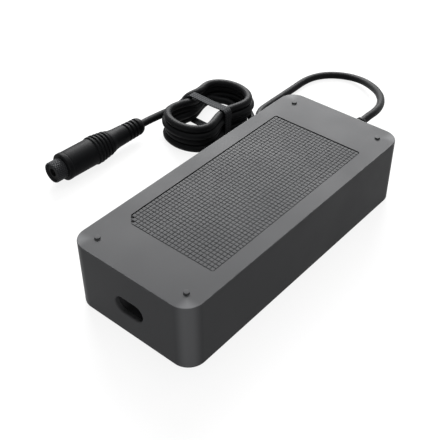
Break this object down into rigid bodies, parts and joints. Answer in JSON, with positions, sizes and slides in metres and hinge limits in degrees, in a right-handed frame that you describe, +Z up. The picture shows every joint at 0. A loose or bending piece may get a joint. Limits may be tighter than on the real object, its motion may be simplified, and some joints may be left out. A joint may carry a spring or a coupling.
{
  "type": "electric scooter charger",
  "caption": "Slim brick-shaped battery charger with a textured top panel, a mains inlet, and a tied output lead ending in a round connector.",
  "frame": {"origin": "centre of the underside of the housing, on the surface it stands on", "axes": "+Z up; +Y along the housing from the mains inlet end to the cord's end; the cord, hank and connector lie on the -X side"},
  "size_m": [0.1511, 0.2475, 0.0369],
  "materials": {
    "charger_shell": "satin, faint moulded grain",
    "panel_rubber": "matte, square nubs",
    "base_plastic": "matte",
    "inlet_plastic": "matte",
    "pin_nickel": "nickel-plated",
    "screw_steel": "dark plated",
    "cord_rubber": "satin",
    "boot_rubber": "matte",
    "strap_fabric": "fine dotted weave",
    "grip_plastic": "satin",
    "sleeve_plastic": "fine crosshatch",
    "insulator_plastic": "matte",
    "lamp_lens": "milky",
    "board_laminate": "satin green",
    "fuse_ceramic": "plain",
    "winding_copper": "enamelled copper",
    "core_ferrite": "dark ferrite",
    "capacitor_film": "satin",
    "capacitor_sleeve": "shrunk sleeve",
    "capacitor_disc": "satin",
    "component_epoxy": "matte",
    "sink_aluminium": "plain",
    "transformer_tape": "taped",
    "insulation_sheet": "plain",
    "wire_red": "plain",
    "wire_black": "plain"
  },
  "bodies": {
    "root": {"housing": "charger_shell", "texture_panel": "panel_rubber", "base_plate": "base_plastic", "base_screw_1": "screw_steel", "base_screw_2": "screw_steel", "base_screw_3": "screw_steel", "base_screw_4": "screw_steel", "inlet_body": "inlet_plastic", "inlet_pin_left": "pin_nickel", "inlet_pin_right": "pin_nickel", "cord_boot": "boot_rubber", "cord_lead": "cord_rubber", "cord_hank": "cord_rubber", "cord_plug_lead": "cord_rubber", "hank_tie": "strap_fabric", "plug_grip": "grip_plastic", "plug_sleeve": "sleeve_plastic", "plug_insulator": "insulator_plastic", "plug_contact": "pin_nickel", "status_lens": "lamp_lens", "circuit_board": "board_laminate", "insulation_sheet": "insulation_sheet", "mains_fuse": "fuse_ceramic", "filter_choke_winding": "winding_copper", "filter_choke_divider": "component_epoxy", "film_capacitor": "capacitor_film", "bridge_rectifier": "component_epoxy", "bulk_capacitor": "capacitor_sleeve", "primary_heat_sink": "sink_aluminium", "switch_transistor": "component_epoxy", "transformer_core": "core_ferrite", "transformer_winding": "transformer_tape", "secondary_heat_sink": "sink_aluminium", "output_rectifier": "component_epoxy", "output_capacitor_1": "capacitor_sleeve", "output_capacitor_2": "capacitor_sleeve", "output_choke": "winding_copper", "safety_capacitor": "capacitor_disc", "optocoupler": "component_epoxy", "control_chip": "component_epoxy", "inlet_wire_left": "wire_black", "inlet_wire_right": "wire_red", "output_wire_negative": "wire_black", "output_wire_positive": "wire_red"}
  },
  "joints": []
}
